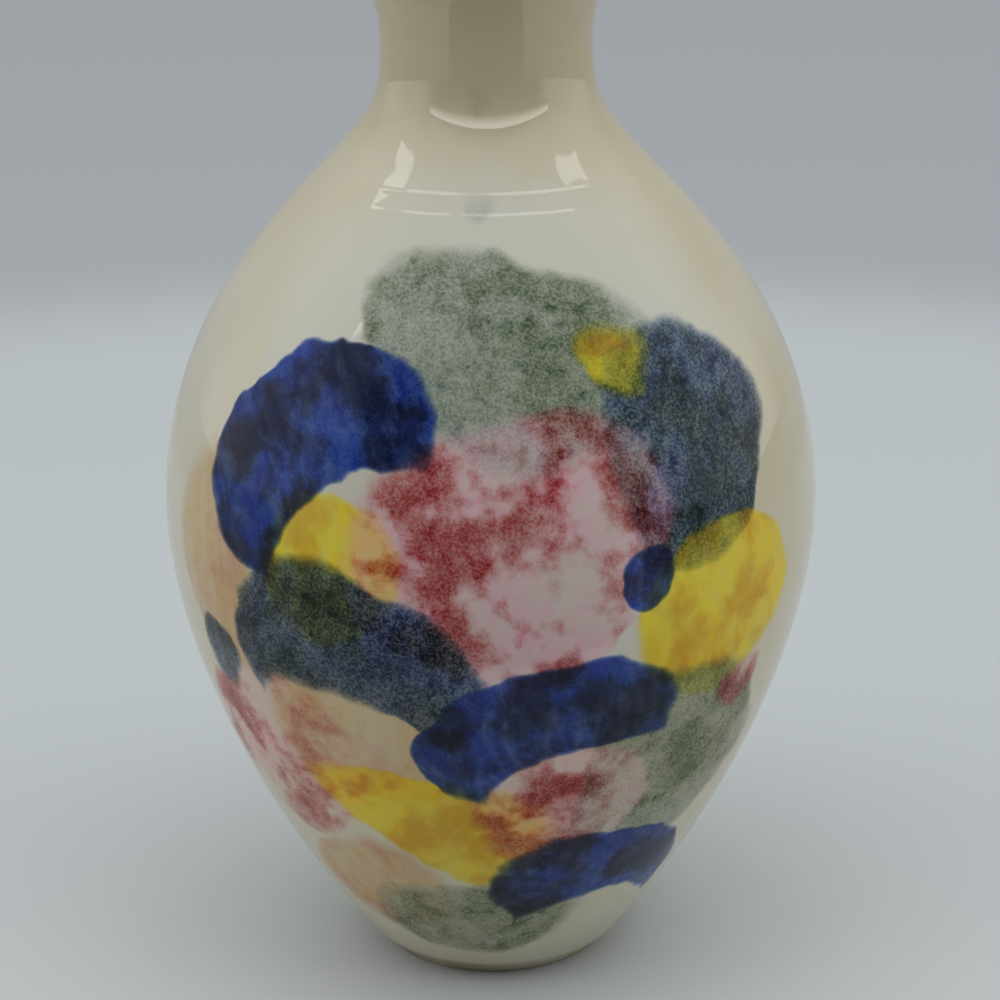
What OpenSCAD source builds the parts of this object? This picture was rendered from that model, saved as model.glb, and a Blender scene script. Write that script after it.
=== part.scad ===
// Ovoid pottery vase with a narrow neck and a flared lip, in millimetres.
// It is thrown in sections that are luted together with slip, glazed cream inside and out,
// and painted on the front with soft colours that sink into the glaze.
// The vase stands on z = 0 around the Z axis, and its painted side faces -Y.

/* [Body] */
// Diameter of the belly at its widest place
body_d = 120; // [110:1:130]
// Height of the widest place above the table
belly_h = 89; // [82:1:96]
// Height from the widest place up to the narrowest place of the neck
shoulder_h = 84.5; // [78:0.5:90]
// Lean of the shoulder, from upright, where it turns into the neck
shoulder_lean = 44; // [41:1:48]

/* [Foot] */
// Diameter of the foot where it meets the table
foot_d = 45.5; // [42:0.5:52]
// Height of the foot ring
foot_h = 5; // [4:0.5:7]
// Width of the foot ring's resting face
foot_w = 6; // [5:0.5:8]
// Lean of the wall, from upright, where it leaves the foot
foot_lean = 39; // [33:1:42]
// Height of bare clay below the glaze line
bare_h = 2.5; // [1.5:0.5:3.5]

/* [Neck and mouth] */
// Diameter of the neck at its narrowest place
neck_d = 37.5; // [34:0.5:42]
// Height from the narrowest place up to the top of the lip
mouth_h = 16.5; // [14:0.5:22]
// How far the lip stands out past the neck
lip_out = 3.5; // [2.5:0.5:6]

/* [Clay and glaze] */
// Thickness of the clay wall at the foot
wall = 6; // [5:0.5:7]
// Thickness of the clay wall at the lip
lip_wall = 4; // [3:0.5:5]
// Thickness of the clay floor
floor_t = 6; // [5:0.5:8]
// Thickness of the slip in each luted joint
slip = 1; // [0.6:0.1:1.4]
// Thickness of each coat of glaze
glaze = 0.6; // [0.4:0.1:0.8]

/* [Painting] */
// Turn of the painted side around the vase
paint_turn = 0; // [-180:5:180]

/* [Hidden] */
$fn = 96;

// Radii and heights that follow from the driving dimensions
body_r = body_d / 2;
foot_r = foot_d / 2;
neck_r = neck_d / 2;
neck_h = belly_h + shoulder_h;
foot_edge = 0.8;
bowl_h = foot_h + slip;
floor_h = bowl_h + floor_t;
bevel = 2 * slip;

// The lip's arc: its turn from upright and the radius of its outer face
lip_r = lip_wall / 2 + glaze;
lip_turn = 2 * atan(lip_out / (mouth_h - lip_r));
flare_r = (mouth_h - lip_r) / sin(lip_turn) - lip_r;

// Steps along the lower curve, the shoulder, the neck, the flare and the roll of the lip
low_steps = 20;
shoulder_steps = 16;
neck_steps = 10;
flare_steps = 6;
roll_steps = 6;
belly = low_steps;
neck_joint = belly + shoulder_steps;
lip = neck_joint + neck_steps + flare_steps;

// How far the lower curve runs on straight from its ends, as shares of belly_h
foot_run = 0.27;
under_belly_run = 0.35;

// The place where the shoulder stops swelling and sweeps up into the neck, as shares of the way out to
// the belly and up to the neck
turn_out = 0.31;
turn_up = 0.715;
turn = [blend(neck_r, body_r, turn_out), belly_h + turn_up * shoulder_h];

// Where the slant of the wall there meets the upright lines at the belly and the neck, and the shares of
// the way to them over which the wall keeps close to the slant
function slant_at(r) = [r, turn[1] + (turn[0] - r) / tan(shoulder_lean)];
belly_meet = slant_at(body_r);
neck_meet = slant_at(neck_r);
under_turn_run = 0.31;
over_turn_run = 0.92;

// Outer curve of the glaze, from foot to belly, shoulder and neck, as cubic curves in [radius, height]
lower_curve = [
    [foot_r, 0],
    [foot_r, 0] + foot_run * belly_h * [sin(foot_lean), cos(foot_lean)],
    [body_r, belly_h - under_belly_run * belly_h],
    [body_r, belly_h]
];
shoulder_curve = [
    [body_r, belly_h],
    belly_meet,
    blend(turn, belly_meet, under_turn_run),
    turn
];
neck_curve = [
    turn,
    blend(turn, neck_meet, over_turn_run),
    neck_meet,
    [neck_r, neck_h]
];

function blend(a, b, f) = a + (b - a) * f;
function along(a, b, distance) = blend(a, b, distance / norm(b - a));
function curve_at(c, t) =
    let (s = 1 - t) s * s * s * c[0] + 3 * s * s * t * c[1] + 3 * s * t * t * c[2] + t * t * t * c[3];
function curve_way(c, t) =
    let (s = 1 - t, d = s * s * (c[1] - c[0]) + 2 * s * t * (c[2] - c[1]) + t * t * (c[3] - c[2])) d / norm(d);
function flare_at(g) = [neck_r + flare_r * (1 - cos(g)), neck_h + flare_r * sin(g)];

// Stations up the outer face, each a point and the direction in which the face runs on
function curve_stations(c, steps) =
    [for (i = [0:steps - 1]) [curve_at(c, i / steps), curve_way(c, i / steps)]];
stations = concat(
    curve_stations(lower_curve, low_steps),
    curve_stations(shoulder_curve, shoulder_steps),
    curve_stations(neck_curve, neck_steps),
    [for (i = [0:flare_steps]) let (g = lip_turn * i / flare_steps) [flare_at(g), [sin(g), cos(g)]]]
);

function outward(k) = [stations[k][1][1], -stations[k][1][0]];
function inset(k, depth) = stations[k][0] - outward(k) * depth;
function wall_at(k) = blend(wall, lip_wall, k / lip);
function clay_out(k) = inset(k, glaze);
function clay_in(k) = inset(k, glaze + wall_at(k));

// The place on a face, given by its depth, at a height below the belly
function at_height(depth, z) =
    let (k = max([0, for (i = [0:belly - 1]) if (inset(i, depth)[1] <= z) i]))
    let (a = inset(k, depth), b = inset(k + 1, depth))
    blend(a, b, (z - a[1]) / (b[1] - a[1]));
near_belly = belly_h - 1;
function face_between(depth, z0, z1) =
    [for (i = [0:belly]) let (p = inset(i, depth)) if (p[1] > z0 && p[1] < z1) p];

// The inner face, from the middle of the floor up to the lip, with a coat of some depth on it
corner = 6;
corner_steps = 4;
wall_start = min([for (i = [0:belly]) if (clay_in(i)[1] > floor_h + corner) i]);
function inner_at(k, coat) = inset(k, glaze + wall_at(k) + coat);
function floor_corner(coat) =
    let (top = inner_at(wall_start, coat), way = stations[wall_start][1])
    let (bend = top - way * (top[1] - floor_h - coat) / way[1])
    let (foot = bend - [corner, 0])
    [for (i = [0:corner_steps - 1]) let (t = i / corner_steps)
        blend(blend(foot, bend, t), blend(bend, top, t), t)];
function inner_face(coat) = concat(
    [[0, floor_h + coat]], floor_corner(coat), [for (k = [wall_start:lip]) inner_at(k, coat)]);

// The roll over the lip, where 0 is the outer side, 180 the inner side and roll_top the highest line
roll_centre = inset(lip, lip_r);
roll_top = 90 + lip_turn;
function roll(radius, from, to) = [for (i = [0:roll_steps]) let (g = blend(from, to, i / roll_steps))
    roll_centre + radius * (outward(lip) * cos(g) + stations[lip][1] * sin(g))];

// A luted joint at station k: its bevel runs from the outer face down to the inner face
function joint_out(k, rise) = along(clay_out(k), clay_out(k + 1), rise);
function joint_in(k, drop) = along(clay_in(k), clay_in(k - 1), drop);
function backwards(points) = [for (i = [len(points) - 1:-1:0]) points[i]];

// Painted dabs: colour, angle round from the front, height, width, length, tilt and motif.
// A later dab lies over the earlier ones.
ROSE = 0;
COBALT = 1;
YELLOW = 2;
SAGE = 3;
SLATE = 4;
OCHRE = 5;
PEBBLE = 0;
CRESCENT = 1;
STROKE = 2;
DABS = [
    [SAGE, 4, 128, 46, 30, -14, PEBBLE],
    [SLATE, 37, 112, 34, 40, -20, PEBBLE],
    [OCHRE, -55, 90, 22, 42, 10, STROKE],
    [YELLOW, -27, 94, 26, 26, 0, PEBBLE],
    [COBALT, -33, 110, 46, 38, 30, CRESCENT],
    [YELLOW, 42, 84, 34, 32, 25, PEBBLE],
    [ROSE, 4, 97, 54, 46, 18, PEBBLE],
    [ROSE, -45, 54, 36, 36, 0, PEBBLE],
    [OCHRE, -24, 62, 34, 26, 0, PEBBLE],
    [SLATE, -25, 76, 46, 36, -20, CRESCENT],
    [SAGE, 37, 54, 36, 42, -15, PEBBLE],
    [YELLOW, -14, 45, 40, 22, -18, STROKE],
    [ROSE, 14, 50, 32, 26, 0, PEBBLE],
    [COBALT, 10, 64, 46, 28, 14, CRESCENT],
    [OCHRE, -32, 25, 28, 22, 12, PEBBLE],
    [SAGE, -4, 19, 34, 22, 8, PEBBLE],
    [COBALT, 27, 27, 38, 26, -10, CRESCENT],
    [YELLOW, 25, 128, 11, 10, 0, PEBBLE],
    [SLATE, -54, 73, 10, 12, 0, PEBBLE],
    [ROSE, 50, 66, 11, 10, 0, PEBBLE],
    [COBALT, 26, 92, 9, 10, 0, PEBBLE]
];
dab_points = [0:15:359];

// Motifs: how much a pebble swells to its top, a crescent's bite by place and size, and a stroke's bend
pebble_swell = 0.14;
bite_place = [0.12, -0.52];
bite_size = [0.9, 0.8];
stroke_bend = 0.2;

module pebble(width, length) {
    polygon([for (a = dab_points) [width / 2 * cos(a) * (1 + pebble_swell * sin(a)), length / 2 * sin(a)]]);
}

module crescent(width, length) {
    difference() {
        pebble(width, length);
        translate([bite_place[0] * width, bite_place[1] * length])
            pebble(bite_size[0] * width, bite_size[1] * length);
    }
}

module stroke(width, length) {
    polygon([for (a = dab_points)
        [width / 2 * cos(a) + stroke_bend * width * pow(sin(a), 2), length / 2 * sin(a)]]);
}

module dab(d) {
    rotate([0, 0, d[1] + paint_turn])
        translate([0, 0, d[2]])
            rotate([90, 0, 0])
                linear_extrude(height = body_d)
                    rotate(d[5]) {
                        if (d[6] == PEBBLE) pebble(d[3], d[4]);
                        if (d[6] == CRESCENT) crescent(d[3], d[4]);
                        if (d[6] == STROKE) stroke(d[3], d[4]);
                    }
}

// Whether two dabs can reach each other on the front of the body
function dabs_meet(a, b) =
    norm([body_r * (a[1] - b[1]) * PI / 180, a[2] - b[2]]) < (norm([a[3], a[4]]) + norm([b[3], b[4]])) / 2;

// The whole outer coat, from the glaze line to the top of the lip
module coat() {
    rotate_extrude()
        polygon(concat(
            [at_height(glaze, bare_h)],
            face_between(glaze, bare_h, near_belly),
            [for (k = [belly:lip]) clay_out(k)],
            roll(lip_wall / 2, 0, roll_top),
            roll(lip_r, roll_top, 0),
            [for (k = [lip - 1:-1:belly]) inset(k, 0)],
            backwards(face_between(0, bare_h + glaze, near_belly)),
            [at_height(0, bare_h + glaze)]));
}

// All dabs of one colour, each as deep as the coat and cut where a later dab covers it
module wash(colour) {
    for (i = [0:len(DABS) - 1])
        if (DABS[i][0] == colour)
            intersection() {
                coat();
                difference() {
                    dab(DABS[i]);
                    for (j = [i + 1:1:len(DABS) - 1])
                        if (dabs_meet(DABS[i], DABS[j])) dab(DABS[j]);
                }
            }
}

module foot_ring() {
    inner_r = foot_r - foot_w;
    edge = at_height(glaze, foot_edge);
    color("tan") rotate_extrude()
        polygon(concat(
            [[inner_r + foot_edge, 0], [edge[0] - 1.5 * foot_edge, 0], edge],
            face_between(glaze, foot_edge, foot_h),
            [at_height(glaze, foot_h), [inner_r, foot_h], [inner_r, foot_edge]]));
}

module foot_slip() {
    inner_r = foot_r - foot_w;
    color("peru") rotate_extrude()
        polygon(concat(
            [[inner_r, foot_h], at_height(glaze, foot_h)],
            face_between(glaze, foot_h, bowl_h),
            [at_height(glaze, bowl_h), [inner_r, bowl_h]]));
}

module lower_bowl() {
    color("burlywood") rotate_extrude()
        polygon(concat(
            [[0, bowl_h], at_height(glaze, bowl_h)],
            face_between(glaze, bowl_h, near_belly),
            [clay_out(belly), joint_in(belly, bevel)],
            [for (k = [belly - 1:-1:wall_start]) clay_in(k)],
            backwards(floor_corner(0)),
            [[0, floor_h]]));
}

module luted_joint(k) {
    color("peru") rotate_extrude()
        polygon([clay_out(k), joint_out(k, slip), joint_in(k, bevel - slip), joint_in(k, bevel)]);
}

module belly_slip() {
    luted_joint(belly);
}

module shoulder_dome() {
    color("burlywood") rotate_extrude()
        polygon(concat(
            [joint_out(belly, slip)],
            [for (k = [belly + 1:neck_joint]) clay_out(k)],
            [joint_in(neck_joint, bevel)],
            [for (k = [neck_joint - 1:-1:belly]) clay_in(k)],
            [joint_in(belly, bevel - slip)]));
}

module neck_slip() {
    luted_joint(neck_joint);
}

module neck_collar() {
    color("burlywood") rotate_extrude()
        polygon(concat(
            [joint_out(neck_joint, slip)],
            [for (k = [neck_joint + 1:lip - 1]) clay_out(k)],
            roll(lip_wall / 2, 0, roll_top),
            roll(lip_wall / 2, roll_top, 180),
            [for (k = [lip - 1:-1:neck_joint]) clay_in(k)],
            [joint_in(neck_joint, bevel - slip)]));
}

module outer_glaze() {
    color("ivory") difference() {
        coat();
        for (d = DABS) dab(d);
    }
}

module lining_glaze() {
    color("cornsilk") rotate_extrude()
        polygon(concat(
            inner_face(0),
            roll(lip_wall / 2, 180, roll_top),
            roll(lip_r, roll_top, 180),
            backwards(inner_face(glaze))));
}

module rose_wash() {
    color("rosybrown") wash(ROSE);
}

module cobalt_wash() {
    color("midnightblue") wash(COBALT);
}

module yellow_wash() {
    color("goldenrod") wash(YELLOW);
}

module sage_wash() {
    color("darkseagreen") wash(SAGE);
}

module slate_wash() {
    color("slategray") wash(SLATE);
}

module ochre_wash() {
    color("darkgoldenrod") wash(OCHRE);
}

foot_ring();
foot_slip();
lower_bowl();
belly_slip();
shoulder_dome();
neck_slip();
neck_collar();
outer_glaze();
lining_glaze();
rose_wash();
cobalt_wash();
yellow_wash();
sage_wash();
slate_wash();
ochre_wash();
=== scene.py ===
"""Dresses a thrown pottery vase: painted glaze outside, a glazed lining and a turned, bare foot."""

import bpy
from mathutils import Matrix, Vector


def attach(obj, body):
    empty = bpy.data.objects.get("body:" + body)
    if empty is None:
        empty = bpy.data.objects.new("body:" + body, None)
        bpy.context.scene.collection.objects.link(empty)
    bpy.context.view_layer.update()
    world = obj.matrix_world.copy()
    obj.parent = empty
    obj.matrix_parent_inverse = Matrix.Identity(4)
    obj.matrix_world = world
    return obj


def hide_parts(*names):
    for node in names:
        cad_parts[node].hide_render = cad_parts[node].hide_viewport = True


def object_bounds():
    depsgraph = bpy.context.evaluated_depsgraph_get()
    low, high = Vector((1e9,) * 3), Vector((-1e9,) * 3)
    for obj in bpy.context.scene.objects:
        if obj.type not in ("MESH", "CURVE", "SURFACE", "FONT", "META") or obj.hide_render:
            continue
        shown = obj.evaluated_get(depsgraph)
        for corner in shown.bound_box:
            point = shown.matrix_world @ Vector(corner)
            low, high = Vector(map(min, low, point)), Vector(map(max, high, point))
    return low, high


bl_info = {
    "name": "Painted Pottery Vase",
    "version": (1, 0, 0),
    "blender": (4, 5, 0),
    "location": "View3D > Sidebar > Vase",
    "description": "Makes the painted glaze, the lining and the turned foot of a thrown vase",
    "category": "Object",
}

import math
from collections import namedtuple

import bmesh
import bpy
from mathutils import Euler, Matrix, Vector

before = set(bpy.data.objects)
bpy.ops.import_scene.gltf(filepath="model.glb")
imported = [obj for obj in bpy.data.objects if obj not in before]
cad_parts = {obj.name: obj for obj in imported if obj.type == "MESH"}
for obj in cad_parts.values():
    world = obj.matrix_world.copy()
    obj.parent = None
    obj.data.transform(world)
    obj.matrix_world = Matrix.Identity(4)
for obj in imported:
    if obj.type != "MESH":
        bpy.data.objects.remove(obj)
CAD_LOW, CAD_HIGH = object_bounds()

MM = 0.001
BODY = "root"
CLAY_NODES = ("shoulder_dome", "neck_collar")
SLIP_NODES = ("foot_slip", "belly_slip", "neck_slip")
WASH_NODES = ("rose_wash", "cobalt_wash", "yellow_wash", "sage_wash", "slate_wash", "ochre_wash")

# The turn from shoulder to neck, as shares of the way out to the belly and up to the neck.
TURN_OUT, TURN_UP = 0.31, 0.715
# How far the lower curve runs on straight from its ends, as shares of the belly's height.
FOOT_RUN, BELLY_RUN = 0.27, 0.35
# How long the wall keeps close to its slant, below the turn and above it.
SHOULDER_HOLD, NECK_HOLD = 0.31, 0.92
# Steps up the lower curve, the shoulder and the neck: fine for the glaze that shows, plain for the inside.
FINE_STEPS = (70, 56, 32)
PLAIN_STEPS = (40, 32, 18)
# Reach of the rounded corner between the floor and the inner wall.
CORNER = 6 * MM

# How much each pigment clouds, gathers into grains, pools at its edge and streaks along the brush.
Finish = namedtuple("Finish", "cloud grain rim streak")
PIGMENTS = {
    "rose": Finish(1.0, 0.80, 0.4, 0.20),
    "cobalt": Finish(0.2, 0.25, 0.7, 0.22),
    "yellow": Finish(0.4, 0.10, 0.3, 0.20),
    "sage": Finish(0.5, 0.85, 0.4, 0.15),
    "slate": Finish(0.5, 0.85, 0.5, 0.20),
    "ochre": Finish(0.7, 0.35, 0.4, 0.20),
}

# Painted dabs, in millimetres and degrees round from the front; a later dab lies over the earlier ones.
Dab = namedtuple("Dab", "pigment angle height width length tilt motif softness strength")
DABS = (
    Dab("sage", 4, 128, 46, 30, -14, "pebble", 2.6, 1.00),
    Dab("slate", 37, 112, 34, 40, -20, "pebble", 2.4, 0.95),
    Dab("ochre", -55, 90, 22, 42, 10, "stroke", 3.0, 0.85),
    Dab("yellow", -27, 94, 26, 26, 0, "pebble", 2.0, 0.95),
    Dab("cobalt", -33, 110, 46, 38, 30, "crescent", 1.2, 1.05),
    Dab("yellow", 42, 84, 34, 32, 25, "pebble", 2.2, 1.00),
    Dab("rose", 4, 97, 54, 46, 18, "pebble", 2.6, 0.95),
    Dab("rose", -45, 54, 36, 36, 0, "pebble", 2.8, 0.90),
    Dab("ochre", -24, 62, 34, 26, 0, "pebble", 2.8, 0.90),
    Dab("slate", -25, 76, 46, 36, -20, "crescent", 2.0, 1.00),
    Dab("sage", 37, 54, 36, 42, -15, "pebble", 2.6, 0.95),
    Dab("yellow", -14, 45, 40, 22, -18, "stroke", 2.0, 1.00),
    Dab("rose", 14, 50, 32, 26, 0, "pebble", 2.4, 0.85),
    Dab("cobalt", 10, 64, 46, 28, 14, "crescent", 1.3, 1.00),
    Dab("ochre", -32, 25, 28, 22, 12, "pebble", 2.8, 0.90),
    Dab("sage", -4, 19, 34, 22, 8, "pebble", 2.4, 0.85),
    Dab("cobalt", 27, 27, 38, 26, -10, "crescent", 1.4, 0.95),
    Dab("yellow", 25, 128, 11, 10, 0, "pebble", 2.0, 1.20),
    Dab("slate", -54, 73, 10, 12, 0, "pebble", 2.0, 1.00),
    Dab("rose", 50, 66, 11, 10, 0, "pebble", 2.0, 1.30),
    Dab("cobalt", 26, 92, 9, 10, 0, "pebble", 1.6, 1.00),
)
# Two faint slate-grey spots at the front under the neck, and the place where the glaze lies thick and milky.
FRONT_SPOTS = (
    Dab("slate", -6, 164.5, 2, 3, 0, "pebble", 2.0, 0.08),
    Dab("slate", -3, 151.0, 4, 2.6, 0, "pebble", 1.8, 0.10),
)
MILKY = Dab("", 2, 112, 78, 84, 0, "pebble", 6.0, 0.75)
# Heights, in millimetres, of two fine lines that the fingers left under the neck.
FINGER_LINES = (149.0, 151.9)

# Soft lamps, with their power in watts.
Lamp = namedtuple("Lamp", "name place aim size power")
LAMPS = (
    Lamp("overhead_panel", (0, -0.4, 0.97), (0, 0, 0.1), (0.9, 0.5), 1.65),
    Lamp("left_panel", (-0.9, -0.2, 0.45), (0, 0, 0.08), (0.8, 0.8), 0.7),
    Lamp("right_panel", (0.9, -0.2, 0.45), (0, 0, 0.08), (0.8, 0.8), 0.7),
)
# Narrow windows of light over the shoulder: their height, and their corners in millimetres from above.
WINDOW_HEIGHT = 0.22
WINDOWS = {
    "left_window": ((-85, -5), (-62, -22), (-58, -23), (-77.5, -3.7)),
    "right_window": ((58, -25), (77, -5.5), (74.5, -6.5), (52.5, -27.5)),
}
# A strip of light in front: how far forward, its left and right ends, its low and high edges and where it
# reaches its full strength.
STRIP_FORWARD, STRIP_LEFT, STRIP_RIGHT = -0.07, -0.107, 0.136
STRIP_LOW, STRIP_HIGH, STRIP_FULL = 0.190, 0.219, 0.215
# The dark card's line on the floor and up its far end, as (forward, height), and its spread to each side.
CARD_LINE = ((-0.15, 0.004), (-0.50, 0.004), (-0.52, 0.20))
CARD_SPREAD = 0.84


def srgb(red, green, blue):
    """The linear colour of a screen colour given from 0 to 255."""
    def linear(value):
        value /= 255
        return value / 12.92 if value <= 0.04045 else ((value + 0.055) / 1.055) ** 2.4
    return (linear(red), linear(green), linear(blue))


def length_prop(name, description, default):
    """A length property in metres."""
    return bpy.props.FloatProperty(
        name=name, description=description, default=default, unit="LENGTH", precision=4)


def angle_prop(name, description, degrees):
    """An angle property, given in degrees."""
    return bpy.props.FloatProperty(
        name=name, description=description, default=math.radians(degrees), subtype="ANGLE")


def colour_prop(name, description, red, green, blue):
    """A colour property, given as a screen colour."""
    return bpy.props.FloatVectorProperty(
        name=name, description=description, default=srgb(red, green, blue),
        subtype="COLOR", size=3, min=0, max=1)


def number_prop(name, description, default, least=0):
    """A plain number property."""
    return bpy.props.FloatProperty(name=name, description=description, default=default, min=least)


class VaseForm(bpy.types.PropertyGroup):
    """Sizes of the vase, as its solids have them."""

    belly_radius: length_prop("Belly radius", "Outer radius at the widest place", 60 * MM)
    belly_height: length_prop("Belly height", "Height of the widest place", 89 * MM)
    foot_radius: length_prop("Foot radius", "Outer radius where the vase meets the table", 22.75 * MM)
    foot_width: length_prop("Foot width", "Width of the ring that the vase stands on", 6 * MM)
    foot_height: length_prop("Foot height", "Height of the ring that the vase stands on", 5 * MM)
    foot_lean: angle_prop("Foot lean", "Lean of the wall from upright at the foot", 39)
    shoulder_lean: angle_prop(
        "Shoulder lean", "Lean of the shoulder from upright where it turns into the neck", 44)
    neck_radius: length_prop("Neck radius", "Outer radius at the narrowest place", 18.75 * MM)
    neck_height: length_prop("Neck height", "Height of the narrowest place", 173.5 * MM)
    lip_out: length_prop("Lip overhang", "How far the lip stands out past the neck", 3.5 * MM)
    height: length_prop("Height", "Height of the whole vase", CAD_HIGH.z)
    wall: length_prop("Wall", "Thickness of the clay at the foot", 6 * MM)
    lip_wall: length_prop("Lip wall", "Thickness of the clay at the lip", 4 * MM)
    slip: length_prop("Slip", "Thickness of the slip in each joint", 1 * MM)
    floor: length_prop("Floor", "Thickness of the clay floor", 6 * MM)
    glaze: length_prop("Glaze", "Thickness of each coat of glaze", 0.6 * MM)
    bare: length_prop("Bare clay", "Height of the glaze line above the table", 2.5 * MM)
    ripple: length_prop("Throwing rings", "Depth of the faint rings left by the fingers", 0.01 * MM)
    groove: length_prop("Turning grooves", "Depth of the grooves that the turning tool leaves", 0.16 * MM)
    segments: bpy.props.IntProperty(
        name="Segments", description="Faces around the vase", default=224, min=32, max=360)


class VaseColours(bpy.types.PropertyGroup):
    """Colours of the glaze, the clay and the painted pigments."""

    cream: colour_prop("Cream", "Glaze colour", 203, 195, 168)
    cream_warm: colour_prop("Warm cream", "Glaze where it lies thin over the clay", 199, 188, 157)
    cream_cool: colour_prop("Cool cream", "Glaze where it lies thick", 204, 199, 177)
    # Browner glaze on the neck, and darker too: painted shade on the upright neck under the lip.
    neck_cream_and_shade: colour_prop("Neck cream", "Glaze on the neck, where it runs thin", 192, 179, 147)
    milk: colour_prop("Milk", "Thick, milky glaze under the painting and in clouds over it", 203, 201, 188)
    iron: colour_prop("Iron speck", "Specks of iron in the glaze", 112, 82, 50)
    clay: colour_prop("Clay", "Bare fired clay", 198, 187, 164)
    clay_dark: colour_prop("Dark clay", "Bare fired clay in the grooves", 164, 150, 126)
    rose: colour_prop("Rose", "Rose pigment over the glaze", 212, 176, 166)
    rose_break: colour_prop("Brick rose", "Colour that the rose breaks into", 165, 88, 80)
    cobalt: colour_prop("Cobalt", "Cobalt pigment over the glaze", 44, 66, 130)
    cobalt_break: colour_prop("Ink", "Colour that the cobalt breaks into", 26, 34, 60)
    yellow: colour_prop("Yellow", "Yellow pigment over the glaze", 222, 198, 56)
    yellow_break: colour_prop("Gold", "Colour that the yellow breaks into", 204, 158, 36)
    sage: colour_prop("Sage", "Grey-green pigment over the glaze", 140, 144, 122)
    sage_break: colour_prop("Moss", "Colour that the grey-green breaks into", 108, 116, 86)
    slate: colour_prop("Slate", "Blue-grey pigment over the glaze", 66, 78, 95)
    slate_break: colour_prop("Pine", "Colour that the blue-grey breaks into", 50, 63, 63)
    ochre: colour_prop("Ochre", "Ochre pigment over the glaze", 196, 168, 122)
    ochre_break: colour_prop("Peach", "Colour that the ochre breaks into", 192, 152, 118)


class VaseStage(bpy.types.PropertyGroup):
    """Floor, light and camera."""

    floor: colour_prop("Floor", "Colour of the floor round the vase", 195, 200, 201)
    # Painted light: the floor in front of the vase is lighter, lifting the vase's shadow there.
    near_floor_painted_light: colour_prop("Near floor", "Colour of the floor in front of the vase", 204, 208, 208)
    # Painted shade: the floor further off is darker, where the light falls away.
    far_floor_painted_shade: colour_prop("Far floor", "Colour of the floor further off", 176, 179, 182)
    backdrop: colour_prop("Backdrop", "Colour of the wall far behind the floor", 208, 211, 214)
    room: colour_prop("Room", "Colour of the soft light all round", 170, 172, 174)
    room_low: number_prop("Low light", "Strength of the light from the level of the floor", 0.9)
    room_high: number_prop("High light", "Strength of the light from above", 2.5)
    room_front: number_prop("Front light", "Share of the light that comes from the front", 0.18)
    room_sides: number_prop("Side light", "Strength of the light added at the left and right", 1.6)
    strip_light: number_prop("Strip light", "Strength of the strip of light in front", 3.6)
    panel_light: number_prop("Panel light", "Strength of the bowed panel of light high above", 2.9)
    window_light: number_prop("Window light", "Strength of the two narrow windows of light", 3.2)
    dark_card: colour_prop("Dark card", "Colour of the card that the neck reflects", 70, 67, 60)
    floor_radius: length_prop("Floor radius", "Radius of the round floor", 2.5)
    camera_distance: length_prop("Camera distance", "From the camera to the axis of the vase", 0.4661)
    camera_aim: length_prop("Camera aim", "Height on the axis at the middle of the picture", 0.0874)
    camera_side: length_prop("Camera offset", "How far the camera stands to the right", 0.0017)
    camera_pitch: angle_prop("Camera pitch", "How far the camera looks down", 20)
    camera_roll: angle_prop("Camera roll", "Turn of the camera about its own axis", -0.5)
    lens: number_prop("Lens", "Focal length of the camera in millimetres", 90, 10)


def curve_point(c, t):
    """A point on a cubic curve with four control points."""
    s = 1 - t
    return c[0] * s ** 3 + c[1] * (3 * s * s * t) + c[2] * (3 * s * t * t) + c[3] * t ** 3


def curve_way(c, t):
    """The direction of a cubic curve."""
    s = 1 - t
    return ((c[1] - c[0]) * (s * s) + (c[2] - c[1]) * (2 * s * t) + (c[3] - c[2]) * (t * t)).normalized()


def lip_arc(form):
    """Turn of the flare from upright, and the radius of its outer face."""
    roll = form.lip_wall / 2 + form.glaze
    rise = form.height - form.neck_height - roll
    turn = 2 * math.atan(form.lip_out / rise)
    return turn, rise / math.sin(turn) - roll


def outer_stations(form, low_steps, shoulder_steps, neck_steps):
    """Points up the outer face as (radius, height), each with the direction in which the face runs on."""
    rise = form.neck_height - form.belly_height
    foot_way = Vector((math.sin(form.foot_lean), math.cos(form.foot_lean)))
    foot = Vector((form.foot_radius, 0))
    belly = Vector((form.belly_radius, form.belly_height))
    waist = Vector((form.neck_radius, form.neck_height))
    turn_radius = form.neck_radius + TURN_OUT * (form.belly_radius - form.neck_radius)
    turn = Vector((turn_radius, form.belly_height + TURN_UP * rise))
    slope = math.tan(form.shoulder_lean)
    belly_meet = Vector((form.belly_radius, turn.y + (turn.x - form.belly_radius) / slope))
    neck_meet = Vector((form.neck_radius, turn.y + (turn.x - form.neck_radius) / slope))
    up = Vector((0, 1))
    foot_run, belly_run = FOOT_RUN * form.belly_height, BELLY_RUN * form.belly_height
    low = [foot, foot + foot_way * foot_run, belly - up * belly_run, belly]
    shoulder = [belly, belly_meet, turn.lerp(belly_meet, SHOULDER_HOLD), turn]
    neck = [turn, turn.lerp(neck_meet, NECK_HOLD), neck_meet, waist]
    stations = []
    for curve, steps in ((low, low_steps), (shoulder, shoulder_steps), (neck, neck_steps)):
        stations += [(curve_point(curve, i / steps), curve_way(curve, i / steps)) for i in range(steps)]
    bend, radius = lip_arc(form)
    for i in range(neck_steps + 1):
        g = bend * i / neck_steps
        place = waist + Vector((radius * (1 - math.cos(g)), radius * math.sin(g)))
        stations.append((place, Vector((math.sin(g), math.cos(g)))))
    return stations


def outward(way):
    """The direction out of the face, square to its run."""
    return Vector((way.y, -way.x))


def inset(station, depth):
    """A point below a station of the outer face."""
    return station[0] - outward(station[1]) * depth


def wall_at(form, share):
    """Thickness of the clay, from 0 at the foot to 1 at the lip."""
    return form.wall + (form.lip_wall - form.wall) * share


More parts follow.
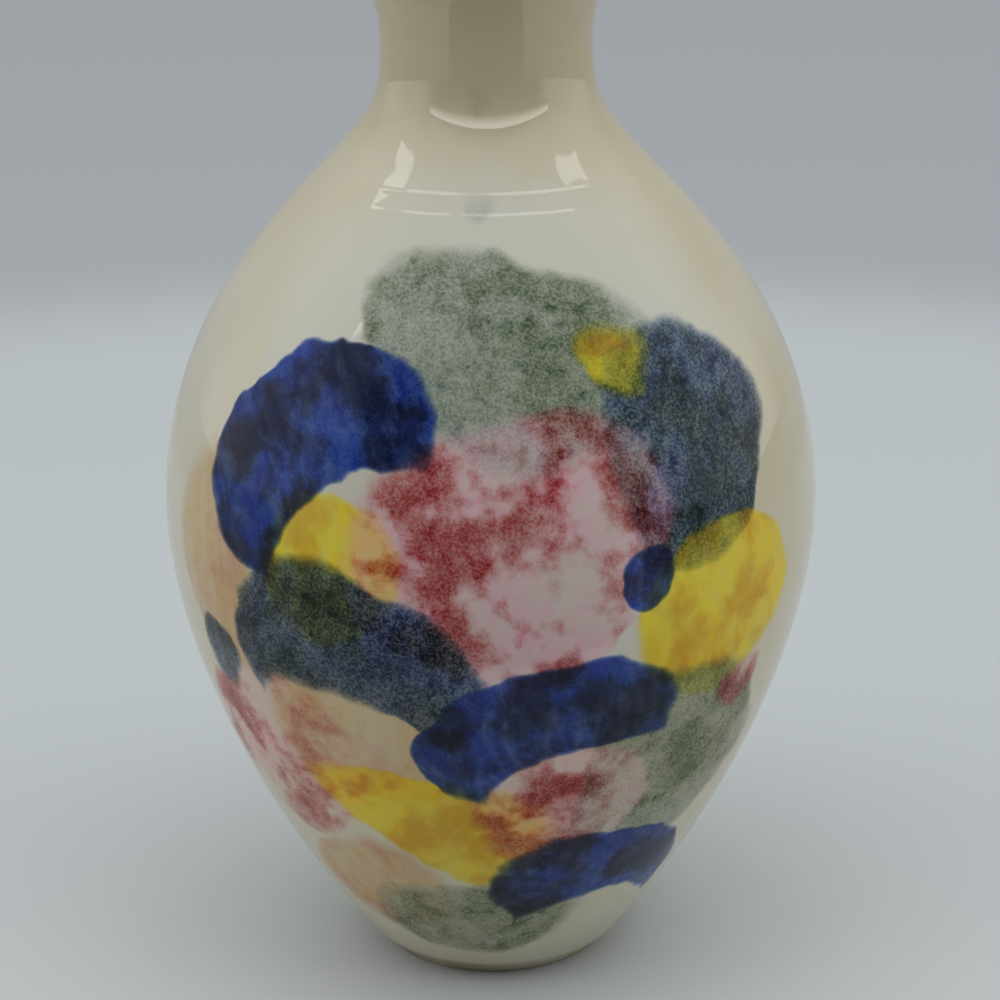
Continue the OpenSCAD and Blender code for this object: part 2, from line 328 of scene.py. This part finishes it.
def inner_face(form, stations, floor, count=None):
    """Stations whose inner face clears the floor's corner, each with the depth of that face."""
    last = len(stations) - 1
    depths = [(s, form.glaze + wall_at(form, i / last)) for i, s in enumerate(stations[:count])]
    return [(s, depth) for s, depth in depths if inset(s, depth).y > floor + CORNER]


def lip_top(form):
    """The highest line of the rolled lip, in degrees from its outer side."""
    return 90 + math.degrees(lip_arc(form)[0])


def lip_roll(form, station, radius, start, end, steps):
    """Points over the rolled lip, where 0 is its outer side and 180 its inner side."""
    centre = inset(station, form.lip_wall / 2 + form.glaze)
    points = []
    for i in range(steps + 1):
        g = math.radians(start + (end - start) * i / steps)
        points.append(centre + (outward(station[1]) * math.cos(g) + station[1] * math.sin(g)) * radius)
    return points


def floor_corner(top, way, floor, steps):
    """The rounded corner from the floor up to a point on the inner wall."""
    bend = top - way * ((top.y - floor) / way.y)
    start = bend - Vector((CORNER, 0))
    points = []
    for i in range(steps):
        t = i / steps
        points.append(start.lerp(bend, t).lerp(bend.lerp(top, t), t))
    return points


def spin_outline(outline, segments, closed=True):
    """Spins an outline of (radius, height) points round the vase's axis into a mesh."""
    mesh = bmesh.new()
    verts = [mesh.verts.new((p[0], 0, p[1])) for p in outline]
    pairs = list(zip(verts, verts[1:]))
    if closed:
        pairs.append((verts[-1], verts[0]))
    edges = [mesh.edges.new(pair) for pair in pairs]
    bmesh.ops.spin(
        mesh, geom=verts + edges, cent=(0, 0, 0), axis=(0, 0, 1),
        angle=math.tau, steps=segments, use_merge=True)
    bmesh.ops.remove_doubles(mesh, verts=mesh.verts, dist=0.002 * MM)
    bmesh.ops.dissolve_degenerate(mesh, edges=mesh.edges, dist=0.001 * MM)
    bmesh.ops.recalc_face_normals(mesh, faces=mesh.faces)
    return mesh


def finish_piece(name, mesh, material, nodes):
    """Makes a smooth-shaded object from a mesh, parents it to the body it rides on and hides the parts it
    stands for.
    """
    data = bpy.data.meshes.new(name)
    mesh.to_mesh(data)
    mesh.free()
    data.shade_smooth()
    data.materials.append(material)
    piece = bpy.data.objects.new(name, data)
    bpy.context.scene.collection.objects.link(piece)
    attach(piece, BODY)
    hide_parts(*nodes)


class NodeBench:
    """Short ways to add and link the nodes of one material."""

    def __init__(self, name):
        self.material = bpy.data.materials.new(name)
        self.material.use_nodes = True
        self.tree = self.material.node_tree
        self.shader = self.tree.nodes["Principled BSDF"]

    def add(self, kind, inputs=(), **settings):
        node = self.tree.nodes.new(kind)
        for key, value in settings.items():
            setattr(node, key, value)
        for key, value in dict(inputs).items():
            self.feed(node.inputs[key], value)
        return node

    def feed(self, socket, value):
        if isinstance(value, bpy.types.NodeSocket):
            self.tree.links.new(value, socket)
        elif socket.type == "RGBA":
            socket.default_value = (*value, 1)
        else:
            socket.default_value = value

    def math(self, operation, a, b=0.0, c=0.0):
        return self.add("ShaderNodeMath", {0: a, 1: b, 2: c}, operation=operation).outputs[0]

    def vector(self, operation, a, b=(0, 0, 0), c=(0, 0, 0)):
        node = self.add("ShaderNodeVectorMath", {0: a, 1: b, 2: c}, operation=operation)
        return node.outputs["Value" if operation == "LENGTH" else "Vector"]

    def noise(self, vector, size, detail=2.0, roughness=0.5, output="Fac"):
        inputs = {"Vector": vector, "Scale": 1 / size, "Detail": detail, "Roughness": roughness}
        return self.add("ShaderNodeTexNoise", inputs).outputs[output]

    def step(self, value, low, high, start=0.0, end=1.0):
        inputs = {"Value": value, "From Min": low, "From Max": high, "To Min": start, "To Max": end}
        return self.add("ShaderNodeMapRange", inputs, interpolation_type="SMOOTHSTEP").outputs["Result"]

    def spread(self, value, low, high):
        """Stretches a noise value, which keeps to the middle of 0 to 1, over a range."""
        inputs = {"Value": value, "From Min": 0.3, "From Max": 0.7, "To Min": low, "To Max": high}
        return self.add("ShaderNodeMapRange", inputs).outputs["Result"]

    def mix(self, factor, a, b):
        return self.add("ShaderNodeMix", {"Factor": factor, 6: a, 7: b}, data_type="RGBA").outputs[2]

    def mix_vector(self, factor, a, b):
        return self.add("ShaderNodeMix", {"Factor": factor, 4: a, 5: b}, data_type="VECTOR").outputs[1]

    def ramp(self, factor, stops):
        node = self.add("ShaderNodeValToRGB", {"Fac": factor})
        marks = node.color_ramp.elements
        while len(marks) < len(stops):
            marks.new(0.5)
        for mark, (place, colour) in zip(marks, stops):
            mark.position = place
            mark.color = (*colour, 1)
        return node.outputs["Color"]

    def place(self):
        """Object coordinates, in metres."""
        return self.add("ShaderNodeTexCoord").outputs["Object"]

    def bump(self, height, distance, strength=1.0):
        inputs = {"Height": height, "Distance": distance, "Strength": strength}
        self.feed(self.shader.inputs["Normal"], self.add("ShaderNodeBump", inputs).outputs["Normal"])


def dab_frame(dab):
    """Turn and shift that bring a dab's middle to the origin, its width along X and its length along Z."""
    round_axis = Matrix.Rotation(-math.radians(dab.angle), 3, "Z")
    tilt = Matrix.Rotation(math.radians(dab.tilt), 3, "Y")
    shift = tilt @ Vector((0, 0, -dab.height * MM))
    return (tilt @ round_axis).to_euler("XYZ"), shift


def pebble_depth(bench, across, along, width, length):
    """How far inside a pebble's edge a point lies, in metres, less than 0 outside it."""
    high = bench.math("DIVIDE", along, length * MM / 2)
    wide = bench.math("MULTIPLY_ADD", high, 0.14, 1.0)
    side = bench.math("DIVIDE", bench.math("DIVIDE", across, width * MM / 2), wide)
    reach = bench.vector("LENGTH", bench.add("ShaderNodeCombineXYZ", {"X": side, "Y": high}).outputs[0])
    half = min(width, length) * MM / 2
    return bench.math("MULTIPLY_ADD", reach, -half, half)


def dab_depth(bench, local, dab):
    """How far inside a dab's edge a point lies, in the dab's own place."""
    parts = bench.add("ShaderNodeSeparateXYZ", {"Vector": local}).outputs
    across, depth, along = parts["X"], parts["Y"], parts["Z"]
    if dab.motif == "stroke":
        high = bench.math("DIVIDE", along, dab.length * MM / 2)
        bend = bench.math("MULTIPLY", bench.math("MULTIPLY", high, high), 0.2 * dab.width * MM)
        across = bench.math("SUBTRACT", across, bend)
    inside = pebble_depth(bench, across, along, dab.width, dab.length)
    if dab.motif == "crescent":
        bite_across = bench.math("SUBTRACT", across, 0.12 * dab.width * MM)
        bite_along = bench.math("ADD", along, 0.52 * dab.length * MM)
        bite = pebble_depth(bench, bite_across, bite_along, 0.9 * dab.width, 0.8 * dab.length)
        inside = bench.math("MINIMUM", inside, bench.math("MULTIPLY", bite, -1.0))
    return inside, bench.math("LESS_THAN", depth, 0.0)


Wash = namedtuple("Wash", "place body grain edge")


def wash_fields(bench, place):
    """What all washes share: wandering outlines, cloudy strength, grain and the width of their edges."""
    middle = (0.5, 0.5, 0.5)
    cloud = bench.vector("SUBTRACT", bench.noise(place, 22 * MM, 3, 0.55, "Color"), middle)
    ragged = bench.vector("SUBTRACT", bench.noise(place, 6 * MM, 3, 0.5, "Color"), middle)
    wander = bench.vector("MULTIPLY", cloud, (10 * MM,) * 3)
    bent = bench.vector("ADD", place, bench.vector("MULTIPLY_ADD", ragged, (1.8 * MM,) * 3, wander))
    pool = bench.spread(bench.noise(place, 16 * MM, 2, 0.5), 0.42, 1.5)
    bloom = bench.spread(bench.noise(place, 4.5 * MM, 4, 0.65), 0.72, 1.28)
    fine = bench.step(bench.noise(place, 0.5 * MM, 2, 0.6), 0.35, 0.72, -0.3, 0.6)
    clots = bench.step(bench.noise(place, 2.6 * MM, 4, 0.7), 0.5, 0.76, -0.1, 0.9)
    grain = bench.math("ADD", fine, clots)
    edge = bench.spread(bench.noise(place, 26 * MM, 1, 0.5), 0.45, 1.9)
    return Wash(bent, bench.math("MULTIPLY", pool, bloom), grain, edge)


def dab_cover(bench, dab, wash):
    """How far a dab covers a point, from 0 to 1 over its soft edge, and the point in the dab's own place."""
    turn, shift = dab_frame(dab)
    inputs = {"Vector": wash.place, "Location": shift, "Rotation": turn}
    local = bench.add("ShaderNodeMapping", inputs, vector_type="POINT").outputs[0]
    inside, near_side = dab_depth(bench, local, dab)
    width = bench.math("MULTIPLY", wash.edge, dab.softness * MM)
    cover = bench.step(bench.math("DIVIDE", inside, width), -0.5, 0.5)
    return bench.math("MULTIPLY", cover, near_side), local


def dab_density(bench, dab, wash):
    """How much pigment a dab leaves at a point, where 1 gives the pigment's own colour, and its cover."""
    cover, local = dab_cover(bench, dab, wash)
    finish = PIGMENTS[dab.pigment]
    rim = bench.math("MULTIPLY", cover, bench.math("SUBTRACT", 1.0, cover))
    streaks = bench.noise(bench.vector("MULTIPLY", local, (1, 1, 0.1)), 2.2 * MM, 2, 0.5)
    body = bench.math("MULTIPLY_ADD", wash.body, finish.cloud, 1 - finish.cloud)
    body = bench.math("MULTIPLY", body, bench.math("MULTIPLY_ADD", wash.grain, finish.grain, 1.0))
    body = bench.math("MULTIPLY", body, bench.spread(streaks, 1 - finish.streak, 1 + finish.streak))
    body = bench.math("MULTIPLY_ADD", rim, finish.rim, bench.math("MULTIPLY", cover, body))
    return bench.math("MULTIPLY", body, dab.strength), cover


def absorption(colours, name):
    """How strongly a pigment darkens the glaze in red, green and blue."""
    return tuple(math.log(pigment / glaze) for pigment, glaze in zip(getattr(colours, name), colours.cream))


def speck_mask(bench, place, cell, radius, share):
    """Small round specks, in a share of the cells of a scattered grid."""
    cells = bench.add("ShaderNodeTexVoronoi", {"Vector": place, "Scale": 1 / cell, "Randomness": 1.0})
    dot = bench.step(cells.outputs["Distance"], radius / cell, 0.4 * radius / cell)
    chance = bench.add("ShaderNodeSeparateColor", {"Color": cells.outputs["Color"]}).outputs["Red"]
    return bench.math("MULTIPLY", dot, bench.math("LESS_THAN", chance, share))


def painted_glaze(colours):
    """Glossy cream glaze with soft, mottled washes of colour sunk into its front."""
    bench = NodeBench("painted_glaze")
    place = bench.place()
    wash = wash_fields(bench, place)
    drift = bench.noise(place, 38 * MM, 3, 0.5)
    glaze = bench.ramp(drift, ((0.34, colours.cream_warm), (0.5, colours.cream), (0.66, colours.cream_cool)))
    height = bench.add("ShaderNodeSeparateXYZ", {"Vector": place}).outputs["Z"]
    # Over the neck the glaze turns browner and darker, partly its own tint and partly painted shade.
    glaze = bench.mix(bench.step(height, 152 * MM, 170 * MM), glaze, tuple(colours.neck_cream_and_shade))
    milky = bench.math("MULTIPLY", dab_cover(bench, MILKY, wash)[0], MILKY.strength)
    glaze = bench.mix(milky, glaze, tuple(colours.milk))

    turn = bench.step(bench.noise(place, 12 * MM, 3, 0.6), 0.42, 0.62)
    darkening = (0, 0, 0)
    tones = {
        name: bench.mix_vector(turn, absorption(colours, name), absorption(colours, name + "_break"))
        for name in PIGMENTS}
    for dab in DABS + FRONT_SPOTS:
        density, cover = dab_density(bench, dab, wash)
        left = bench.math("MULTIPLY_ADD", cover, -0.6, 1.0)
        fresh = bench.vector("MULTIPLY", density, tones[dab.pigment])
        darkening = bench.vector("MULTIPLY_ADD", darkening, left, fresh)
    passed = bench.vector("POWER", (math.e,) * 3, darkening)
    colour = bench.vector("MULTIPLY", glaze, passed)

    painted = bench.step(bench.vector("LENGTH", darkening), 0.15, 1.4)
    cloudy = bench.step(bench.noise(place, 8 * MM, 4, 0.65), 0.48, 0.74)
    veil = bench.math("MULTIPLY", bench.math("MULTIPLY", painted, cloudy), 0.02)
    colour = bench.mix(veil, colour, colours.milk)
    specks = speck_mask(bench, place, 17 * MM, 0.6 * MM, 0.16)
    colour = bench.mix(bench.math("MULTIPLY", specks, 0.75), colour, colours.iron)
    bench.feed(bench.shader.inputs["Base Color"], colour)

    polish = bench.spread(bench.noise(place, 9 * MM, 3, 0.6), 0.03, 0.05)
    bench.feed(bench.shader.inputs["Roughness"], bench.math("MULTIPLY_ADD", painted, 0.12, polish))
    bench.feed(bench.shader.inputs["Specular IOR Level"], bench.math("MULTIPLY_ADD", painted, -0.35, 0.5))
    bench.shader.inputs["IOR"].default_value = 1.6
    relief = bench.math("MULTIPLY", bench.noise(place, 4 * MM, 2, 0.5), 0.002)
    press = bench.spread(bench.noise(place, 11 * MM, 2, 0.6), 0.006, 0.026)
    for line in FINGER_LINES:
        away = bench.math("ABSOLUTE", bench.math("SUBTRACT", height, line * MM))
        relief = bench.math("MULTIPLY_ADD", bench.step(away, 0.6 * MM, 0.0), press, relief)
    bench.bump(relief, MM)
    return bench.material


def lining_glaze(colours):
    """Cream glaze inside the vase."""
    bench = NodeBench("lining_glaze")
    place = bench.place()
    drift = bench.noise(place, 18 * MM, 3, 0.55)
    colour = bench.ramp(drift, ((0.3, colours.cream_warm), (0.7, colours.cream)))
    specks = speck_mask(bench, place, 12 * MM, 0.5 * MM, 0.25)
    colour = bench.mix(bench.math("MULTIPLY", specks, 0.7), colour, colours.iron)
    bench.feed(bench.shader.inputs["Base Color"], colour)
    bench.shader.inputs["Roughness"].default_value = 0.16
    bench.bump(bench.noise(place, 5 * MM, 2, 0.5), 0.03 * MM, 0.6)
    return bench.material


def bare_clay(colours, name, tint):
    """Matt fired clay with fine sand in it."""
    bench = NodeBench(name)
    place = bench.place()
    drift = bench.noise(place, 9 * MM, 4, 0.6)
    grit = bench.noise(place, 0.7 * MM, 2, 0.7)
    mood = bench.math("MULTIPLY_ADD", bench.math("SUBTRACT", grit, 0.5), 0.8, drift)
    colour = bench.ramp(mood, ((0.3, colours.clay_dark), (0.65, tint)))
    specks = speck_mask(bench, place, 3.5 * MM, 0.28 * MM, 0.4)
    colour = bench.mix(bench.math("MULTIPLY", specks, 0.6), colour, colours.iron)
    bench.feed(bench.shader.inputs["Base Color"], colour)
    bench.shader.inputs["Roughness"].default_value = 0.85
    bench.bump(grit, 0.12 * MM, 0.7)
    return bench.material


class VASE_OT_glaze_skin(bpy.types.Operator):
    """Make the outer coat of glaze with its painting"""

    bl_idname = "vase.glaze_skin"
    bl_label = "Glaze and painting"

    def execute(self, context):
        form = context.scene.vase_form
        stations = outer_stations(form, *FINE_STEPS)
        lip = stations[-1]
        top = lip_top(form)
        outer = [inset(s, 0) for s in stations if s[0].y > form.bare + form.glaze]
        inner = [inset(s, form.glaze) for s in stations[::3] if s[0].y > form.bare]
        outline = outer[:-1] + lip_roll(form, lip, form.lip_wall / 2 + form.glaze, 0, top, 10)
        outline += lip_roll(form, lip, form.lip_wall / 2, top, 0, 5) + inner[-2::-1]
        mesh = spin_outline(outline, form.segments)
        self.add_throwing_rings(mesh, form)
        finish_piece(
            "glaze_skin", mesh, painted_glaze(context.scene.vase_colours),
            ("outer_glaze", *WASH_NODES))
        return {"FINISHED"}

    def add_throwing_rings(self, mesh, form):
        """Moves the skin in and out a little, as fingers leave it on the wheel."""
        pitch = 11 * MM
        for vert in mesh.verts:
            angle = math.atan2(vert.co.y, vert.co.x)
            wave = math.sin(math.tau * vert.co.z / pitch + angle)
            wave += 3 * math.cos(2 * angle + 18 * vert.co.z)
            vert.co += Vector((vert.co.x, vert.co.y, 0)).normalized() * wave * form.ripple


class VASE_OT_lining(bpy.types.Operator):
    """Make the glazed lining"""

    bl_idname = "vase.lining"
    bl_label = "Lining"

    def execute(self, context):
        form = context.scene.vase_form
        stations = outer_stations(form, *PLAIN_STEPS)
        floor = form.foot_height + form.slip + form.floor
        top = lip_top(form)
        depths = inner_face(form, stations, floor)
        roll = form.lip_wall / 2
        outline = self.wall_line(depths, floor, 0)
        outline += lip_roll(form, stations[-1], roll, 180, top, 5)
        outline += lip_roll(form, stations[-1], roll + form.glaze, top, 180, 8)
        outline += self.wall_line(depths, floor, form.glaze)[::-1]
        mesh = spin_outline(outline, form.segments // 2, closed=False)
        finish_piece(
            "glaze_lining", mesh, lining_glaze(context.scene.vase_colours),
            ("lining_glaze",))
        return {"FINISHED"}

    def wall_line(self, depths, floor, coat):
        """The inner face from the middle of the floor to below the lip, with a coat of some depth on it."""
        wall = [inset(s, depth + coat) for s, depth in depths]
        corner = floor_corner(wall[0], depths[0][0][1], floor + coat, 8)
        return [Vector((0, floor + coat))] + corner + wall[:-1]


class VASE_OT_clay(bpy.types.Operator):
    """Make the turned foot, and give the other clay sections and the slip their fired finish"""

    bl_idname = "vase.clay"
    bl_label = "Clay sections"

    def execute(self, context):
        colours = context.scene.vase_colours
        clay = bare_clay(colours, "bare_clay", colours.clay)
        slip = bare_clay(colours, "fired_slip", colours.clay_dark)
        for names, material in ((CLAY_NODES, clay), (SLIP_NODES, slip)):
            for name in names:
                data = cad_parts[name].data
                data.materials.clear()
                data.materials.append(material)
        form = context.scene.vase_form
        finish_piece("turned_foot", self.foot_mesh(form), clay, ("foot_ring",))
        finish_piece("turned_bowl", self.bowl_mesh(form), clay, ("lower_bowl",))
        return {"FINISHED"}

    def foot_mesh(self, form):
        """The foot ring with rounded edges and fine turning grooves."""
        inner = form.foot_radius - form.foot_width
        edge = 0.8 * MM
        face = [inset(s, form.glaze) for s in outer_stations(form, 240, 2, 1)]
        outer = [p for p in face if edge < p.y < form.foot_height]
        outline = [(inner + edge, 0), (outer[0].x - 1.5 * edge, 0), (outer[0].x - 0.4 * edge, 0.4 * edge)]
        outline += [(p.x - form.groove * self.groove_at(p.y), p.y) for p in outer]
        outline += [(outer[-1].x, form.foot_height), (inner, form.foot_height)]
        steps = 20
        for i in range(steps):
            z = form.foot_height + (edge - form.foot_height) * (i + 1) / steps
            outline.append((inner + form.groove * self.groove_at(z), z))
        outline.append((inner + 0.4 * edge, 0.4 * edge))
        return spin_outline(outline, form.segments)

    def bowl_mesh(self, form):
        """The lower half of the body, with turning rings on its underside."""
        low = form.foot_height + form.slip
        inner = form.foot_radius - form.foot_width
        floor = low + form.floor
        stations = outer_stations(form, *PLAIN_STEPS)
        count = PLAIN_STEPS[0] + 1
        rings = 60
        outline = []
        for i in range(rings + 1):
            radius = inner * i / rings
            outline.append((radius, low + form.groove * self.groove_at(radius)))
        outer = [inset(s, form.glaze) for s in stations[:count]]
        outline += [p for p in outer if p.y > low]
        wall = inner_face(form, stations, floor, count)
        outline += [inset(s, depth) for s, depth in wall[:-1]][::-1]
        outline += floor_corner(inset(*wall[0]), wall[0][0][1], floor, 6)[::-1] + [Vector((0, floor))]
        return spin_outline(outline, form.segments // 2, closed=False)

    def groove_at(self, way):
        """How deep a turning groove is, from 0 to 1, at a place along the cut."""
        return 0.5 - 0.5 * math.cos(math.tau * way / (1.4 * MM))


def add_lamp(lamp):
    """A rectangular soft lamp that faces a point, and doesn't show in the gloss."""
    data = bpy.data.lights.new(lamp.name, "AREA")
    data.shape = "RECTANGLE"
    data.size, data.size_y = lamp.size
    data.energy = lamp.power
    made = bpy.data.objects.new(lamp.name, data)
    made.location = lamp.place
    made.rotation_euler = (Vector(lamp.aim) - Vector(lamp.place)).to_track_quat("-Z", "Y").to_euler()
    made.visible_glossy = False
    bpy.context.scene.collection.objects.link(made)


def matt_bench(name):
    """A bench for a matt surface of the stage, without any gloss."""
    bench = NodeBench(name)
    bench.shader.inputs["Roughness"].default_value = 0.9
    bench.shader.inputs["Specular IOR Level"].default_value = 0
    return bench


def add_stage_piece(name, mesh, material):
    """An object of the stage, which isn't part of the vase."""
    data = bpy.data.meshes.new(name)
    mesh.to_mesh(data)
    mesh.free()
    data.materials.append(material)
    piece = bpy.data.objects.new(name, data)
    bpy.context.scene.collection.objects.link(piece)
    return piece


def soft_room(stage):
    """Soft light all round: strong from above and the sides, less from the floor's level, least in front."""
    world = bpy.data.worlds.new("soft_room")
    world.use_nodes = True
    nodes, links = world.node_tree.nodes, world.node_tree.links

    def ramp(value, start, end, at_start, at_end):
        share = nodes.new("ShaderNodeMapRange")
        share.interpolation_type = "SMOOTHSTEP"
        for socket, number in zip(share.inputs[1:5], (start, end, at_start, at_end)):
            socket.default_value = number
        links.new(value, share.inputs["Value"])
        return share.outputs["Result"]

    def join(operation, *values):
        node = nodes.new("ShaderNodeMath")
        node.operation = operation
        for socket, value in zip(node.inputs, values):
            links.new(value, socket)
        return node.outputs[0]

    way = nodes.new("ShaderNodeSeparateXYZ")
    links.new(nodes.new("ShaderNodeTexCoord").outputs["Generated"], way.inputs[0])
    height = ramp(way.outputs["Z"], 0.3, 0.75, stage.room_low, stage.room_high)
    sides = ramp(join("ABSOLUTE", way.outputs["X"]), 0.7, 0.97, 0.0, stage.room_sides)
    front = ramp(way.outputs["Y"], -0.38, -0.62, 1.0, stage.room_front)
    back = nodes["Background"]
    back.inputs["Color"].default_value = (*stage.room, 1)
    links.new(join("MULTIPLY", join("ADD", height, sides), front), back.inputs["Strength"])
    return world


class VASE_OT_stage(bpy.types.Operator):
    """Make the pale floor, the soft light and the camera"""

    bl_idname = "vase.stage"
    bl_label = "Floor, light and camera"

    def execute(self, context):
        stage = context.scene.vase_stage
        self.add_floor(stage)
        self.add_backdrop(stage)
        self.add_light(context.scene, stage)
        self.add_dark_card(stage)
        self.add_camera(context.scene, stage)
        context.scene.view_settings.view_transform = "Standard"
        return {"FINISHED"}

    def add_floor(self, stage):
        mesh = bmesh.new()
        bmesh.ops.create_circle(mesh, cap_ends=True, segments=96, radius=stage.floor_radius)
        bench = matt_bench("pale_floor")
        place = bench.place()
        depth = bench.add("ShaderNodeSeparateXYZ", {"Vector": place}).outputs["Y"]
        # Painted light: the floor turns lighter in front of the vase, lifting the shadow there.
        near = bench.step(depth, 0.06, -0.06)
        # Painted shade: the floor turns darker further off, where the light falls away.
        far = bench.step(bench.vector("LENGTH", place), 0.40, 0.54)
        colour = bench.mix(near, tuple(stage.floor), tuple(stage.near_floor_painted_light))
        bench.feed(bench.shader.inputs["Base Color"], bench.mix(far, colour, tuple(stage.far_floor_painted_shade)))
        add_stage_piece("floor", mesh, bench.material)

    def add_backdrop(self, stage):
        """A plain pale wall all round the floor, which keeps no light off the vase."""
        mesh = bmesh.new()
        radius = stage.floor_radius
        bmesh.ops.create_cone(mesh, segments=96, radius1=radius, radius2=radius, depth=2 * radius)
        for face in mesh.faces:
            face.smooth = True
        bench = matt_bench("pale_backdrop")
        bench.shader.inputs["Base Color"].default_value = (*stage.backdrop, 1)
        wall = add_stage_piece("backdrop", mesh, bench.material)
        wall.visible_diffuse = wall.visible_glossy = wall.visible_shadow = False

    def add_light(self, scene, stage):
        for lamp in LAMPS:
            add_lamp(lamp)
        self.add_front_strip(stage)
        self.add_high_panel(stage)
        for name, corners in WINDOWS.items():
            mesh = bmesh.new()
            mesh.faces.new([mesh.verts.new((x * MM, y * MM, WINDOW_HEIGHT)) for x, y in corners])
            self.add_gloss_light(name, mesh, stage.window_light)
        scene.world = soft_room(stage)

    def add_front_strip(self, stage):
        """A wide strip of light in front, which fades towards its lower edge."""
        mesh = bmesh.new()
        low = ((STRIP_LEFT, STRIP_LOW), (STRIP_RIGHT, STRIP_LOW))
        high = ((STRIP_RIGHT, STRIP_HIGH), (STRIP_LEFT, STRIP_HIGH))
        mesh.faces.new([mesh.verts.new((x, STRIP_FORWARD, z)) for x, z in low + high])
        self.add_gloss_light("front_strip", mesh, stage.strip_light, (STRIP_LOW, STRIP_FULL))

    def add_high_panel(self, stage):
        """A bowed panel of light high over the vase."""
        mesh = bmesh.new()
        verts = []
        for i in range(-8, 9):
            x = 0.048 * i
            verts.append(mesh.verts.new((x, x * x - 0.178, 0.75)))
        edges = [mesh.edges.new(pair) for pair in zip(verts, verts[1:])]
        made = bmesh.ops.extrude_edge_only(mesh, edges=edges)["geom"]
        moved = [item for item in made if isinstance(item, bmesh.types.BMVert)]
        bmesh.ops.translate(mesh, verts=moved, vec=(0, 0.09, 0))
        self.add_gloss_light("high_panel", mesh, stage.panel_light)

    def add_gloss_light(self, name, mesh, strength, fade=None):
        """A shape of light that only shows in gloss, and may grow from nothing between two heights."""
        bench = NodeBench(name)
        bench.shader.inputs["Base Color"].default_value = (0, 0, 0, 1)
        bench.shader.inputs["Emission Color"].default_value = (1, 1, 1, 1)
        bench.shader.inputs["Emission Strength"].default_value = strength
        if fade:
            height = bench.add("ShaderNodeSeparateXYZ", {"Vector": bench.place()}).outputs["Z"]
            bench.feed(bench.shader.inputs["Emission Strength"], bench.step(height, *fade, 0.0, strength))
        light = add_stage_piece(name, mesh, bench.material)
        light.visible_camera = light.visible_diffuse = light.visible_shadow = False

    def add_dark_card(self, stage):
        """A dark fan-shaped card in front, which only shows in the gloss of the neck."""
        mesh = bmesh.new()
        rows = []
        for y, z in CARD_LINE:
            rows.append([mesh.verts.new((side * CARD_SPREAD * y, y, z)) for side in (-1, 1)])
        for low, high in zip(rows, rows[1:]):
            mesh.faces.new((low[0], low[1], high[1], high[0]))
        bench = NodeBench("dark_card")
        bench.shader.inputs["Base Color"].default_value = (*stage.dark_card, 1)
        bench.shader.inputs["Roughness"].default_value = 0.9
        card = add_stage_piece("dark_card", mesh, bench.material)
        card.visible_camera = card.visible_diffuse = card.visible_shadow = False

    def add_camera(self, scene, stage):
        data = bpy.data.cameras.new("camera")
        data.lens = stage.lens
        data.sensor_width = 36
        camera = bpy.data.objects.new("camera", data)
        back = Vector((0, -math.cos(stage.camera_pitch), math.sin(stage.camera_pitch)))
        aim = Vector((stage.camera_side, 0, stage.camera_aim))
        camera.location = aim + back * stage.camera_distance
        turn = (-back).to_track_quat("-Z", "Y") @ Euler((0, 0, stage.camera_roll)).to_quaternion()
        camera.rotation_euler = turn.to_euler()
        scene.collection.objects.link(camera)
        scene.camera = camera


class VASE_PT_panel(bpy.types.Panel):
    """Lists the steps that dress the vase"""

    bl_label = "Painted vase"
    bl_idname = "VASE_PT_panel"
    bl_space_type = "VIEW_3D"
    bl_region_type = "UI"
    bl_category = "Vase"

    def draw(self, context):
        for step in STEPS:
            self.layout.operator(step.bl_idname)
        for group in (context.scene.vase_form, context.scene.vase_colours, context.scene.vase_stage):
            box = self.layout.box()
            for name in group.bl_rna.properties.keys():
                if name not in ("rna_type", "name"):
                    box.prop(group, name)


GROUPS = {"vase_form": VaseForm, "vase_colours": VaseColours, "vase_stage": VaseStage}
STEPS = (VASE_OT_stage, VASE_OT_clay, VASE_OT_lining, VASE_OT_glaze_skin)


def register():
    for cls in (*GROUPS.values(), *STEPS, VASE_PT_panel):
        bpy.utils.register_class(cls)
    for name, cls in GROUPS.items():
        setattr(bpy.types.Scene, name, bpy.props.PointerProperty(type=cls))


def unregister():
    for name in GROUPS:
        delattr(bpy.types.Scene, name)
    for cls in reversed((*GROUPS.values(), *STEPS, VASE_PT_panel)):
        bpy.utils.unregister_class(cls)


def main():
    register()
    bpy.ops.vase.stage()
    bpy.ops.vase.clay()
    bpy.ops.vase.lining()
    bpy.ops.vase.glaze_skin()


if __name__ == "__main__":
    main()
